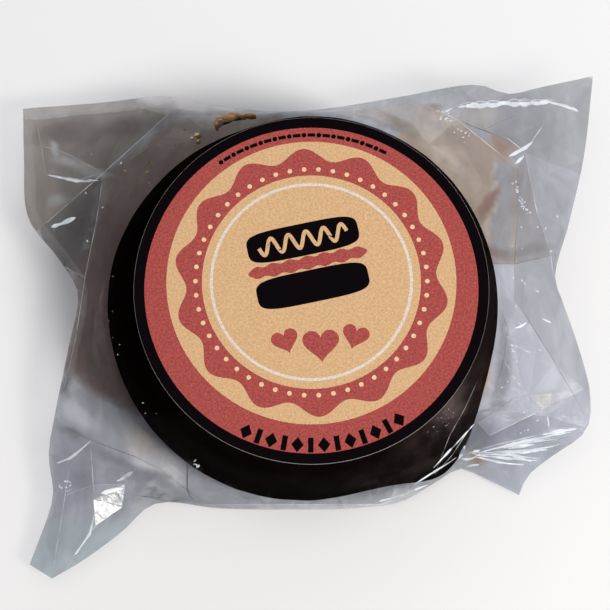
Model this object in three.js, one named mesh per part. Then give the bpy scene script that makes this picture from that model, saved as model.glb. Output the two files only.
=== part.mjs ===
// An alfajor (round chocolate-coated sandwich biscuit) sealed in a clear film bag, with a round
// sticker on top of the bag and a paper label under it.
// Millimetres, +Z up. The origin is the biscuit's centre, on the surface that the pack lies on.
// +X runs along the bag's length, from one end seal to the other, and +Y towards its back fold.

import * as THREE from 'three';

// ---- Driving dimensions -------------------------------------------------------------------------

// The paper label lies under the pack, its front edge just ahead of the biscuit.
const BACK_LABEL = { width: 36, length: 60, thickness: 0.3, corner: 3, x: -2, frontY: -33.8 };

// The film drawn over the biscuit: a drum with a flat top and an elliptical shoulder.
// gap: air between the film and each label, as separate pieces don't touch.
const GAP = 0.3;
const DRUM = {
  base: BACK_LABEL.thickness + GAP,
  baseRadius: 32,
  top: 19.2,
  flatRadius: 27.5,
  girthRadius: 34.2,
  girthHeight: 7,
  squareness: 2.3,
};

// The round sticker sits a little off the biscuit's centre.
const STICKER = { radius: 30, thickness: 0.3, x: 1.5, y: 0.3, segments: 120 };

// The bag's edges, each from one corner to the next, anticlockwise from the back right: x, y and
// height of the edge. Each end is drawn in half way along, which leaves two ears. The front left ear
// has its tip cut off.
const BACK_RIGHT = [51.5, 41.3, 9];
const BACK_LEFT = [-49.8, 36.2, 6];
const TIP_CUT = [-46.9, -44.6, 3];
const FRONT_LEFT = [-43, -47, 3];
const FRONT_RIGHT = [37.5, -32.5, 2.2];
const BAG_EDGES = [
  [BACK_RIGHT, [42, 39.2, 9], [36.4, 38, 9], [31, 39.5, 9.5], [17.3, 37.8, 8], [4.9, 36.3, 6],
    [-4.9, 35.7, 6], [-18.3, 37.1, 7], [-23.9, 37.9, 8], [-36, 37, 7], BACK_LEFT],
  [BACK_LEFT, [-49.4, 26.7, 6], [-48.3, 16, 7], [-42.4, 7.8, 9], [-38.9, 1.5, 10],
    [-40.2, -6.5, 9], [-42.6, -18.4, 7], [-43.8, -26, 5.5], [-43, -32.9, 4.5],
    [-45.4, -40.4, 3], TIP_CUT],
  [TIP_CUT, FRONT_LEFT],
  [FRONT_LEFT, [-38.2, -44.2, 3], [-31.5, -39.2, 2.6], [-25.6, -34, 2], [-14.3, -34.7, 1.2],
    [0, -34.9, 1.2], [8.2, -34.7, 1.2], [16.9, -33.6, 1.4], [23, -30.3, 2], [27.4, -27.9, 2.2],
    [31, -29.3, 2.2], FRONT_RIGHT],
  [FRONT_RIGHT, [39, -29.3, 3], [43, -26.2, 5], [48.8, -21.9, 7], [49.6, -16, 8],
    [47.3, -6.5, 9], [44.9, 0.4, 10], [43.8, 4.4, 10], [46.4, 14, 10], [49.5, 26.5, 9],
    BACK_RIGHT],
];

// The two films are welded into one band of this thickness all along the edge.
const SEAL_THICKNESS = 0.4;
// Slack: how far the upper film sags below a straight line, as a share of the wing's length.
const SLACK = 0.09;
// Pleats fan out from the biscuit across the wings. Two uneven sets cross each other.
const PLEAT_SETS = [{ count: 13, phase: 0.4 }, { count: 21, phase: 2.1 }];
const PLEAT_HEIGHT = 0.3;
const FULL_PLEAT_WING = 12;
// The main creases of the ears, from one end to the other in plan, and how far each stands up from
// the film. One with a rise below zero is a valley.
const CREASES = [
  { from: [-22.4, 34.8], to: [-45.8, 13.4], rise: 1.2 },
  { from: [-34.7, 22.2], to: [-39.1, -6.9], rise: 1 },
  { from: [-45, 23.3], to: [-34.7, 22.2], rise: 0.8 },
  { from: [-41.8, -20.8], to: [-17.5, -33.6], rise: -1.1 },
  { from: [-36.4, -24.3], to: [-39.3, -41], rise: 1.2 },
  { from: [20.7, 35.3], to: [37.4, 23.2], rise: 1.2 },
  { from: [28.9, 35.3], to: [46.5, 35.6], rise: 1 },
  { from: [37.4, 23.2], to: [36.3, -0.5], rise: 0.9 },
  { from: [38.8, 26.4], to: [43.4, 3], rise: 0.9 },
  { from: [36.4, -0.5], to: [48.1, -18.9], rise: -0.8 },
  { from: [48.9, -14.9], to: [31.9, -23.4], rise: 0.8 },
  { from: [28, -26], to: [48.3, -21.7], rise: 1.1 },
];
const CREASE_REACH = 3.2;

// Fineness of the film's mesh.
const SPOKE_SPACING = 2.2;
const SHOULDER_STEPS = 6;
const WING_STEPS = 8;

// ---- The bag's outline --------------------------------------------------------------------------

// Points along the whole edge, about SPOKE_SPACING apart, with every corner kept sharp.
function edgePoints() {
  return BAG_EDGES.flatMap((edge) => {
    const curve = new THREE.CatmullRomCurve3(edge.map((p) => new THREE.Vector3(...p)), false, 'centripetal');
    const steps = Math.round(curve.getLength() / SPOKE_SPACING);
    return curve.getSpacedPoints(steps).slice(0, -1);
  });
}

// ---- Heights of the two films -------------------------------------------------------------------

// Height of the drum's skin at a distance r from the axis, from the flat top down to the girth.
function drumHeight(r) {
  const across = (r - DRUM.flatRadius) / (DRUM.girthRadius - DRUM.flatRadius);
  if (across <= 0) return DRUM.top;
  const n = DRUM.squareness;
  const share = Math.pow(1 - Math.pow(Math.min(across, 1), n), 1 / n);
  return DRUM.girthHeight + (DRUM.top - DRUM.girthHeight) * share;
}

// Radii at which the shoulder is sampled, from the flat top to the girth.
const shoulderRadii = Array.from({ length: SHOULDER_STEPS + 1 }, (_, i) => {
  const turn = (i / SHOULDER_STEPS) * Math.PI / 2;
  return DRUM.flatRadius + (DRUM.girthRadius - DRUM.flatRadius) * Math.sin(turn);
});

// Where a film drawn tight from a seal at (sealRadius, sealHeight) leaves the drum: at the point
// that it sees under the steepest angle, so that it clears the rest of the shoulder.
function touchRadius(sealRadius, sealHeight) {
  const steepness = (r) => (drumHeight(r) - sealHeight) / (sealRadius - r);
  return shoulderRadii.reduce((best, r) => (steepness(r) > steepness(best) ? r : best));
}

// Pleats across a wing: none at the drum or at the seal, and none where the film hugs the drum.
function pleat(angle, share, wingLength) {
  const wave = PLEAT_SETS.reduce((sum, set) => {
    const turn = (angle * set.count + set.phase) / (2 * Math.PI);
    return sum + 4 * Math.abs(turn - Math.floor(turn + 0.5)) - 1;
  }, 0);
  const room = Math.min(wingLength / FULL_PLEAT_WING, 1);
  return PLEAT_HEIGHT * wave * room * Math.sin(Math.PI * share);
}

// How far the creases lift a point of the upper film: each is a ridge with straight flanks.
function creaseLift(x, y, share) {
  const edgeFade = Math.min(1, 5 * share, 5 * (1 - share));
  return edgeFade * CREASES.reduce((sum, { from, to, rise }) => {
    const along = [to[0] - from[0], to[1] - from[1]];
    const offset = [x - from[0], y - from[1]];
    const t = (offset[0] * along[0] + offset[1] * along[1]) / (along[0] ** 2 + along[1] ** 2);
    const nearest = THREE.MathUtils.clamp(t, 0, 1);
    const away = Math.hypot(offset[0] - nearest * along[0], offset[1] - nearest * along[1]);
    return sum + rise * Math.max(0, 1 - away / CREASE_REACH);
  }, 0);
}

// Height of the lower film: flat under the biscuit, then up to the seal.
function lowerHeight(r, spoke) {
  if (r <= DRUM.baseRadius) return DRUM.base;
  const share = (r - DRUM.baseRadius) / (spoke.radius - DRUM.baseRadius);
  const to = spoke.height - SEAL_THICKNESS / 2;
  return THREE.MathUtils.lerp(DRUM.base, Math.max(to, DRUM.base), share);
}

// Height of the upper film at radius r on the spoke that ends at the given seal. Its folds never
// press it into the lower film.
function upperHeight(r, spoke) {
  if (r <= spoke.touch) return drumHeight(r);
  const share = (r - spoke.touch) / (spoke.radius - spoke.touch);
  const from = drumHeight(spoke.touch);
  const to = spoke.height + SEAL_THICKNESS / 2;
  const sag = SLACK * spoke.wing * 4 * share * (1 - share);
  const folds = pleat(spoke.angle, share, spoke.wing)
    + creaseLift(r * Math.cos(spoke.angle), r * Math.sin(spoke.angle), share);
  const height = THREE.MathUtils.lerp(from, to, share) - sag + folds;
  return Math.max(height, lowerHeight(r, spoke) + SEAL_THICKNESS);
}

// ---- Pieces -------------------------------------------------------------------------------------

// The bag with what it holds: upper and lower film meet at the seal, all round.
function filmBagGeometry() {
  const spokes = edgePoints().map((p) => {
    const radius = Math.hypot(p.x, p.y);
    return {
      angle: Math.atan2(p.y, p.x),
      radius,
      height: p.z,
      wing: radius - DRUM.girthRadius,
      touch: touchRadius(radius, p.z),
    };
  });
  const wingShares = Array.from({ length: WING_STEPS }, (_, i) => (i + 1) / WING_STEPS);

  // Rings of points from the top's centre, over the seal, to the centre of the underside.
  const rings = [];
  for (const r of [DRUM.flatRadius / 2, ...shoulderRadii]) {
    rings.push(spokes.map((s) => [r, upperHeight(r, s)]));
  }
  for (const share of wingShares) {
    rings.push(spokes.map((s) => {
      const r = THREE.MathUtils.lerp(DRUM.girthRadius, s.radius, share);
      return [r, upperHeight(r, s)];
    }));
  }
  for (const share of wingShares.slice().reverse()) {
    rings.push(spokes.map((s) => {
      const r = THREE.MathUtils.lerp(DRUM.baseRadius, s.radius, share);
      return [r, lowerHeight(r, s)];
    }));
  }
  rings.push(spokes.map(() => [DRUM.baseRadius, DRUM.base]));

  const positions = [0, 0, DRUM.top];
  for (const ring of rings) {
    ring.forEach(([r, z], i) => {
      positions.push(r * Math.cos(spokes[i].angle), r * Math.sin(spokes[i].angle), z);
    });
  }
  positions.push(0, 0, DRUM.base);

  const count = spokes.length;
  const at = (ring, i) => 1 + ring * count + (i % count);
  const last = positions.length / 3 - 1;
  const triangles = [];
  for (let i = 0; i < count; i++) {
    triangles.push(0, at(0, i), at(0, i + 1));
    for (let ring = 0; ring + 1 < rings.length; ring++) {
      const [a, b] = [at(ring, i), at(ring, i + 1)];
      const [c, d] = [at(ring + 1, i), at(ring + 1, i + 1)];
      triangles.push(a, c, b, b, c, d);
    }
    triangles.push(last, at(rings.length - 1, i + 1), at(rings.length - 1, i));
  }

  const geometry = new THREE.BufferGeometry();
  geometry.setAttribute('position', new THREE.Float32BufferAttribute(positions, 3));
  geometry.setIndex(triangles);
  geometry.computeVertexNormals();
  return geometry;
}

// A flat disc of label stock, lying on its side until its mesh turns it.
function stickerGeometry() {
  const { radius, thickness, segments } = STICKER;
  return new THREE.CylinderGeometry(radius, radius, thickness, segments);
}

// A rectangle of label stock with rounded corners.
function backLabelGeometry() {
  const { width, length, thickness, corner } = BACK_LABEL;
  const [x, y] = [width / 2, length / 2];
  const shape = new THREE.Shape();
  shape.moveTo(-x + corner, -y);
  shape.absarc(x - corner, -y + corner, corner, -Math.PI / 2, 0);
  shape.absarc(x - corner, y - corner, corner, 0, Math.PI / 2);
  shape.absarc(-x + corner, y - corner, corner, Math.PI / 2, Math.PI);
  shape.absarc(-x + corner, -y + corner, corner, Math.PI, Math.PI * 1.5);
  return new THREE.ExtrudeGeometry(shape, { depth: thickness, bevelEnabled: false, curveSegments: 6 });
}

// ---- The pack -----------------------------------------------------------------------------------

const group = new THREE.Group();

const filmBag = new THREE.Mesh(
  filmBagGeometry(),
  new THREE.MeshStandardMaterial({ color: 0xa9a7a6, roughness: 0.15, metalness: 0 }),
);
filmBag.name = 'film_bag';
group.add(filmBag);

const sticker = new THREE.Mesh(
  stickerGeometry(),
  new THREE.MeshStandardMaterial({ color: 0xb9534f, roughness: 0.55, metalness: 0 }),
);
sticker.name = 'sticker';
sticker.rotation.x = Math.PI / 2;
sticker.position.set(STICKER.x, STICKER.y, DRUM.top + GAP + STICKER.thickness / 2);
group.add(sticker);

const backLabel = new THREE.Mesh(
  backLabelGeometry(),
  new THREE.MeshStandardMaterial({ color: 0xe9e6df, roughness: 0.7, metalness: 0 }),
);
backLabel.name = 'back_label';
backLabel.position.set(BACK_LABEL.x, BACK_LABEL.frontY + BACK_LABEL.length / 2, 0);
group.add(backLabel);

export default group;
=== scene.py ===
"""A chocolate-coated sandwich biscuit sealed in a clear film bag, with a round sticker on top."""

import math

import bpy
import numpy as np
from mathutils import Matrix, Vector, noise
from mathutils.geometry import delaunay_2d_cdt


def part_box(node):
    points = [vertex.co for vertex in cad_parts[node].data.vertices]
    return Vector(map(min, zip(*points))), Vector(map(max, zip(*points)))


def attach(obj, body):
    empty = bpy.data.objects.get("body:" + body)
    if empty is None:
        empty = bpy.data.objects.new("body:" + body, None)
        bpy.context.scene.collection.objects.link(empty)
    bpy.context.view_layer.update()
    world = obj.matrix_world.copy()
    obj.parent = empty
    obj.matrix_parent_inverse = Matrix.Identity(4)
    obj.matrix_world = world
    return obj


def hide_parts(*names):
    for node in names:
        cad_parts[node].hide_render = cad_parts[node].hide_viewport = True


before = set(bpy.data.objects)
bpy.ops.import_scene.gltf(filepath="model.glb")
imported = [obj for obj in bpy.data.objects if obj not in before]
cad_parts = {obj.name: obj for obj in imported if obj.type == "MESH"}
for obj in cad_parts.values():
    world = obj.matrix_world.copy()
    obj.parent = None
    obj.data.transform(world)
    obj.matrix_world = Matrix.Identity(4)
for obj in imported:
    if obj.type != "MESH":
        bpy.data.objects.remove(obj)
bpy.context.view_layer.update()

MM = 0.001

# ---- Camera, table and light --------------------------------------------------------------------
# The pack lies on a pale table top of matt lacquer, under soft lamps. The strongest lamp stands low
# on the right, so the biscuit's shadow falls to the left, under the film.

CAMERA_TARGET = Vector((0.42, -2.62, 19.7)) * MM
CAMERA_ELEVATION = 77.6
CAMERA_DISTANCE = 380 * MM
PIXELS_PER_MM = 5.932
IMAGE_WIDTH = 610
SENSOR_WIDTH = 36.0

TABLE_SIZE = 1.6
TABLE_HEX = "F2F3F5"

# name, place in metres, size in metres, power in watts, colour
LAMPS = [
    ("key_lamp", (0.67, -0.43, 0.75), (0.34, 0.34), 9.8, "FFFAF3"),
    ("overhead_lamp", (0.0, 0.16, 0.90), (0.55, 0.55), 0.8, "F6F8FF"),
    ("back_lamp", (0.15, 0.60, 0.22), (0.60, 0.25), 1.0, "F3F7FF"),
]
# The studio is plain and soft, and a little darker near the floor than overhead: its strength at the
# lower and the upper of two heights on a sphere of radius 1.
WORLD_HEX = "CFCFD0"
WORLD_HEIGHTS = (0.1, 0.9)
WORLD_STRENGTHS = (0.15, 0.7)


def linear(hex_code):
    """The linear colour of an sRGB hex value."""
    channels = [int(hex_code[i:i + 2], 16) / 255 for i in (0, 2, 4)]
    return tuple(c / 12.92 if c <= 0.04045 else ((c + 0.055) / 1.055) ** 2.4 for c in channels) + (1,)


def add(tree, kind, inputs=(), **settings):
    """Adds a node. Its inputs, in order or by name, are values, or sockets or nodes to link from."""
    made = tree.nodes.new("ShaderNode" + kind)
    for name, value in settings.items():
        setattr(made, name, value)
    in_use = [socket for socket in made.inputs if socket.enabled]
    if isinstance(inputs, dict):
        pairs = [(next(s for s in in_use if s.name == name), value) for name, value in inputs.items()]
    else:
        pairs = zip(in_use, inputs)
    for socket, value in pairs:
        if isinstance(value, bpy.types.Node):
            value = next(s for s in value.outputs if s.enabled)
        if isinstance(value, bpy.types.NodeSocket):
            tree.links.new(value, socket)
        else:
            socket.default_value = value
    return made


def new_material(name):
    """An empty material and its tree."""
    made = bpy.data.materials.new(name)
    made.use_nodes = True
    made.node_tree.nodes.clear()
    return made, made.node_tree


def mesh_piece(name, points, faces, material, smooth=True):
    """A mesh object from points in millimetres."""
    mesh = bpy.data.meshes.new(name)
    mesh.from_pydata((np.asarray(points, float) * MM).tolist(), [], [tuple(f) for f in faces])
    mesh.materials.append(material)
    if smooth:
        mesh.shade_smooth()
    made = bpy.data.objects.new(name, mesh)
    bpy.context.scene.collection.objects.link(made)
    return made


def aim(obj, target):
    """Turns a camera or lamp to face a point."""
    obj.rotation_euler = (Vector(target) - obj.location).to_track_quat("-Z", "Y").to_euler()


elevation = math.radians(CAMERA_ELEVATION)
camera_data = bpy.data.cameras.new("camera")
camera_data.sensor_width = SENSOR_WIDTH
camera_data.lens = SENSOR_WIDTH * PIXELS_PER_MM * (CAMERA_DISTANCE / MM) / IMAGE_WIDTH
camera = bpy.data.objects.new("camera", camera_data)
camera.location = CAMERA_TARGET + CAMERA_DISTANCE * Vector((0, -math.cos(elevation), math.sin(elevation)))
aim(camera, CAMERA_TARGET)
bpy.context.scene.collection.objects.link(camera)
bpy.context.scene.camera = camera

for name, place, size, power, tint in LAMPS:
    lamp_data = bpy.data.lights.new(name, "AREA")
    lamp_data.shape = "RECTANGLE"
    lamp_data.size, lamp_data.size_y = size
    lamp_data.energy = power
    lamp_data.color = linear(tint)[:3]
    lamp = bpy.data.objects.new(name, lamp_data)
    lamp.location = place
    aim(lamp, (0, 0, 0))
    bpy.context.scene.collection.objects.link(lamp)

world = bpy.data.worlds.new("studio")
world.use_nodes = True
tree = world.node_tree
direction = add(tree, "SeparateXYZ", [add(tree, "TexCoord").outputs["Generated"]])
strength = add(tree, "MapRange", [direction.outputs["Z"], *WORLD_HEIGHTS, *WORLD_STRENGTHS])
tree.nodes["Background"].inputs["Color"].default_value = linear(WORLD_HEX)
tree.links.new(strength.outputs["Result"], tree.nodes["Background"].inputs["Strength"])
bpy.context.scene.world = world
bpy.context.scene.view_settings.view_transform = "Standard"

# Matt lacquer on board: an even, slightly cool white with no gloss.
table_lacquer, tree = new_material("matt_table_lacquer")
shader = add(tree, "BsdfPrincipled", {"Base Color": linear(TABLE_HEX), "Roughness": 0.8})
add(tree, "OutputMaterial", [shader])
half = TABLE_SIZE / 2 / MM
table = mesh_piece(
    "table", [(-half, -half, 0), (half, -half, 0), (half, half, 0), (-half, half, 0)],
    [(0, 1, 2, 3)], table_lacquer,
)

# ---- Biscuit ------------------------------------------------------------------------------------
# Two soft maize-starch biscuits with filling between them, dipped whole in dark chocolate and set on
# a flat belt: a low drum with a round shoulder and a thin foot where the coating ran down.


def box(node):
    """The lowest and the highest corner of a node of the frame, in millimetres."""
    return [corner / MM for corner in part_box(node)]


bag_low = box("film_bag")[0]
sticker_low, sticker_high = box("sticker")
SOLIDS_GAP = 0.3
FILM_CLEARANCE = 0.15

# The film's drum over the biscuit, as in the solid: flat top, then an elliptical shoulder.
DRUM_TOP = sticker_low.z - SOLIDS_GAP
DRUM_FLAT_RADIUS = 27.5
DRUM_GIRTH_RADIUS = 34.2
DRUM_GIRTH_HEIGHT = 7.0
DRUM_SQUARENESS = 2.3
DRUM_BASE_RADIUS = 32.0

FOOT_RADIUS = 33.7
FOOT_HEIGHT = 2.4
BISCUIT_SECTORS = 360
# The hand-dipped coating is uneven outside this radius: how wide its swells are, and how far they go
# outwards or up. The foot spreads more in some places, within a few millimetres of its height.
EVEN_RADIUS = 26
BROAD_SWELL = 14.0
BROAD_OUT = 0.16
BROAD_UP = 0.12
FINE_SWELL = 3.5
FINE_OUT = 0.05
FOOT_SWELL = 6.0
FOOT_SWELL_START = Vector((9, 2, 5))
FOOT_OUT = 0.25
FOOT_REACH = 1.5
# How far the coating is drawn in first, so that its swells stay under the film.
DRAWN_IN = 0.15
DRAWN_DOWN = 0.1
# At the front right, where the bag is drawn tight, the soft coating was pressed outwards: how far,
# round which angle, over what spread in degrees towards the front and towards the right, below what
# height, and how far inside the seal it stops.
PRESSED_OUT = 4.0
PRESSED_TURN = -48
PRESSED_SPREAD = (13.4, 17.5)
PRESSED_BELOW = 15
PRESSED_RISE = 6
PRESSED_GAP = 0.3
# At the back the biscuit is a little flat: how far it falls short of a full round, round which angle,
# and over what spread in degrees towards the right and towards the left.
FLAT_BACK = 1.3
FLAT_BACK_TURN = 112
FLAT_BACK_SPREAD = (29, 39)

SLACK = 0.09
SEAL_HALF = 0.05
# The weld's corners lie outside this radius, and those on one spoke share its angle and radius.
SEAL_NEAREST = 30
SAME_SPOKE = 1e-4
SAME_RADIUS = 0.01


def drum_height(r):
    """Height of the drum's skin at a distance from its axis."""
    across = np.clip((r - DRUM_FLAT_RADIUS) / (DRUM_GIRTH_RADIUS - DRUM_FLAT_RADIUS), 0, 1)
    share = (1 - across ** DRUM_SQUARENESS) ** (1 / DRUM_SQUARENESS)
    return DRUM_GIRTH_HEIGHT + (DRUM_TOP - DRUM_GIRTH_HEIGHT) * share


def shoulder_radii(count):
    """Distances from the axis over the drum's shoulder, closer together where it is steeper."""
    swing = np.sin(np.linspace(0, math.pi / 2, count))
    return DRUM_FLAT_RADIUS + (DRUM_GIRTH_RADIUS - DRUM_FLAT_RADIUS) * swing


def seal_line():
    """Angle, radius and height of the welded edge, read from the frame's bag, anticlockwise."""
    corners = np.array([v.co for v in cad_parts["film_bag"].data.vertices]) / MM
    corners = corners[np.hypot(corners[:, 0], corners[:, 1]) > SEAL_NEAREST]
    angle = np.arctan2(corners[:, 1], corners[:, 0])
    corners, angle = corners[np.argsort(angle)], np.sort(angle)
    spokes = np.split(np.arange(len(angle)), np.flatnonzero(np.diff(angle) > SAME_SPOKE) + 1)
    radius = np.hypot(corners[:, 0], corners[:, 1])
    rows = []
    for spoke in spokes:
        rim = spoke[radius[spoke] > radius[spoke].max() - SAME_RADIUS]
        rows.append((angle[rim].mean(), radius[rim].mean(), corners[rim, 2].mean()))
    return np.array(rows).T


seal_angle, seal_radius, seal_height = seal_line()
seal_xy = np.stack([seal_radius * np.cos(seal_angle), seal_radius * np.sin(seal_angle)], axis=1)

# Where the film, drawn tight from each point of the seal, leaves the drum's shoulder.
shoulder = shoulder_radii(60)
steepness = (drum_height(shoulder)[None] - seal_height[:, None]) / (seal_radius[:, None] - shoulder[None])
seal_leave = shoulder[np.argmax(steepness, axis=1)]


def around(angle, values):
    """Values along the seal, looked up by angle."""
    return np.interp(angle, seal_angle, values, period=2 * math.pi)


def polar(x, y):
    """Angle and distance from the biscuit's axis."""
    return np.arctan2(y, x), np.hypot(x, y)


def upper_film(x, y):
    """Height of the upper film without its folds."""
    angle, r = polar(x, y)
    rim, height, leave = around(angle, seal_radius), around(angle, seal_height), around(angle, seal_leave)
    share = np.clip((r - leave) / (rim - leave), 0, 1)
    start = drum_height(leave)
    sag = SLACK * (rim - DRUM_GIRTH_RADIUS) * 4 * share * (1 - share)
    return np.where(r <= leave, drum_height(r), start + (height + SEAL_HALF - start) * share - sag)


def lower_film(x, y):
    """Height of the lower film: flat under the biscuit, then up to the seal."""
    angle, r = polar(x, y)
    rim, height = around(angle, seal_radius), around(angle, seal_height)
    share = np.clip((r - DRUM_BASE_RADIUS) / (rim - DRUM_BASE_RADIUS), 0, 1)
    return bag_low.z + (height - SEAL_HALF - bag_low.z) * share


def fading(turn, most, middle, spread):
    """A value that is greatest at one angle and fades over its own spread on each side of it."""
    off = (np.degrees(turn) - middle + 180) % 360 - 180
    return most * np.exp(-(off / np.where(off < 0, *spread)) ** 2)


def pressed_out(turn):
    """How far the coating is pressed outwards at an angle."""
    return fading(turn, PRESSED_OUT, PRESSED_TURN, PRESSED_SPREAD)


def biscuit_profile():
    """Radius and height down the side, from the middle of the top to the middle of the base."""
    flat_top = [(r, DRUM_TOP) for r in (0.01, 10, 20, 25)]
    shoulder = shoulder_radii(26)
    side = [(DRUM_GIRTH_RADIUS - 0.1, 5.4), (FOOT_RADIUS, 4.0), (FOOT_RADIUS, FOOT_HEIGHT),
            (FOOT_RADIUS - 0.4, 1.6), (DRUM_BASE_RADIUS, 1.05)]
    base = [(r, 1.0) for r in (30, 20, 0.01)]
    points = flat_top + list(zip(shoulder, drum_height(shoulder))) + side + base
    return np.array(points) - np.array([FILM_CLEARANCE, FILM_CLEARANCE])


def ring_faces(rings, sectors):
    """Faces of a closed body whose points lie in rings, from its top to its base."""
    faces = []
    for first in range(0, (rings - 1) * sectors, sectors):
        for i in range(sectors):
            a, b = first + i, first + (i + 1) % sectors
            faces.append((a, a + sectors, b + sectors, b))
    return faces + [tuple(range(sectors)), tuple(reversed(range((rings - 1) * sectors, rings * sectors)))]


profile = biscuit_profile()
turns = np.linspace(0, 2 * math.pi, BISCUIT_SECTORS, endpoint=False)
r, z = np.maximum(profile[:, 0], 0), profile[:, 1]
points = np.stack([
    np.outer(r, np.cos(turns)), np.outer(r, np.sin(turns)), np.outer(z, np.ones(BISCUIT_SECTORS)),
], axis=-1).reshape(-1, 3)
for point in points:
    spot = Vector(point)
    broad = noise.noise(spot / BROAD_SWELL)
    fine = noise.noise(spot / FINE_SWELL)
    foot = math.exp(-((point[2] - FOOT_HEIGHT) / FOOT_REACH) ** 2)
    run_down = noise.noise(spot / FOOT_SWELL + FOOT_SWELL_START)
    spread = BROAD_OUT * broad + FINE_OUT * fine + FOOT_OUT * foot * run_down
    reach = math.hypot(point[0], point[1])
    if reach > EVEN_RADIUS:
        low_down = min(1, max(0, (PRESSED_BELOW - point[2]) / PRESSED_RISE))
        turn = math.atan2(point[1], point[0])
        spread += low_down * pressed_out(turn) - fading(turn, FLAT_BACK, FLAT_BACK_TURN, FLAT_BACK_SPREAD)
        point[:2] *= min(reach + spread - DRAWN_IN, around(turn, seal_radius) - PRESSED_GAP) / reach
        point[2] += BROAD_UP * broad - DRAWN_DOWN if point[2] > DRUM_GIRTH_HEIGHT else 0
outer = np.hypot(*points[:, :2].T) > DRUM_BASE_RADIUS + 1
x, y, z = points[outer].T
low, high = lower_film(x, y) + FILM_CLEARANCE, upper_film(x, y) - FILM_CLEARANCE
squeezed = low + (z - low) * np.clip((high - low) / (DRUM_GIRTH_HEIGHT - low), 0, 1)
points[outer, 2] = np.clip(np.where(z < DRUM_GIRTH_HEIGHT, squeezed, z), low, high)

# Dark couverture: cocoa butter sets to a smooth, low sheen, with faint ripples from the dipping.
COATING_HEX = "180C08"
COATING_DARK_HEX = "0D0604"
COATING_CLOUD_MM = 7
COATING_SPOT_MM = 2.5
COATING_DULLNESS = (0.22, 0.42)
COATING_BUMP_MM = 0.9
COATING_BUMP_HIGH = 0.12
COATING_SHEEN = 0.01
# Where it was pressed, the coating is painted paler in soft clouds: a painted sheen for the brownish
# reflections on it. Place, reach and greatest share.
PAINTED_SHEEN_HEX = "6A5A54"
PAINTED_SHEEN_PLACES = [((24.5, -20.5, 13), 14, 1.0), ((14.0, -31.0, 8), 15, 0.3)]

couverture, tree = new_material("dark_couverture_chocolate")
place = add(tree, "TexCoord").outputs["Object"]
cloud = add(tree, "TexNoise", {"Vector": place, "Scale": 1 / (COATING_CLOUD_MM * MM), "Detail": 3.0})
tone = add(tree, "Mix", [cloud, linear(COATING_DARK_HEX), linear(COATING_HEX)], data_type="RGBA")
clouded = add(tree, "MapRange", [cloud, 0.4, 0.7, 0.1, 1.0])
# Painted sheen: soft paler clouds on the coating.
for centre, reach, share in PAINTED_SHEEN_PLACES:
    off = add(tree, "VectorMath", [place, [c * MM for c in centre]], operation="DISTANCE")
    close = add(tree, "MapRange", [off, reach * MM, 0.0, 0.0, share], interpolation_type="SMOOTHSTEP")
    painted_sheen = add(tree, "Math", [close, clouded], operation="MULTIPLY")
    tone = add(tree, "Mix", [painted_sheen, tone, linear(PAINTED_SHEEN_HEX)], data_type="RGBA")
spots = add(tree, "TexNoise", {"Vector": place, "Scale": 1 / (COATING_SPOT_MM * MM), "Detail": 5.0})
dullness = add(tree, "MapRange", [spots, 0.0, 1.0, *COATING_DULLNESS])
ripples = add(tree, "TexNoise", {"Vector": place, "Scale": 1 / (COATING_BUMP_MM * MM), "Detail": 4.0})
rippled = add(tree, "Bump", {"Height": ripples, "Strength": 0.2, "Distance": COATING_BUMP_HIGH * MM})
body = add(tree, "BsdfDiffuse", {"Color": tone, "Normal": rippled})
sheen = add(tree, "BsdfGlossy", {"Roughness": dullness, "Normal": rippled})
add(tree, "OutputMaterial", [add(tree, "MixShader", [COATING_SHEEN, body, sheen])])


def stand_for(piece, node):
    """Attaches a piece to the root body and hides the node of the frame that it stands for."""
    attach(piece, "root")
    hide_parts(node)


biscuit = mesh_piece("biscuit", points, ring_faces(len(profile), BISCUIT_SECTORS), couverture)
stand_for(biscuit, "film_bag")

# ---- Film bag -----------------------------------------------------------------------------------
# A flat sleeve of clear oriented polypropylene film, 0.03 mm thick, heat-sealed all round. It clings
# to the biscuit, and its four corners stand out as creased ears.

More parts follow.
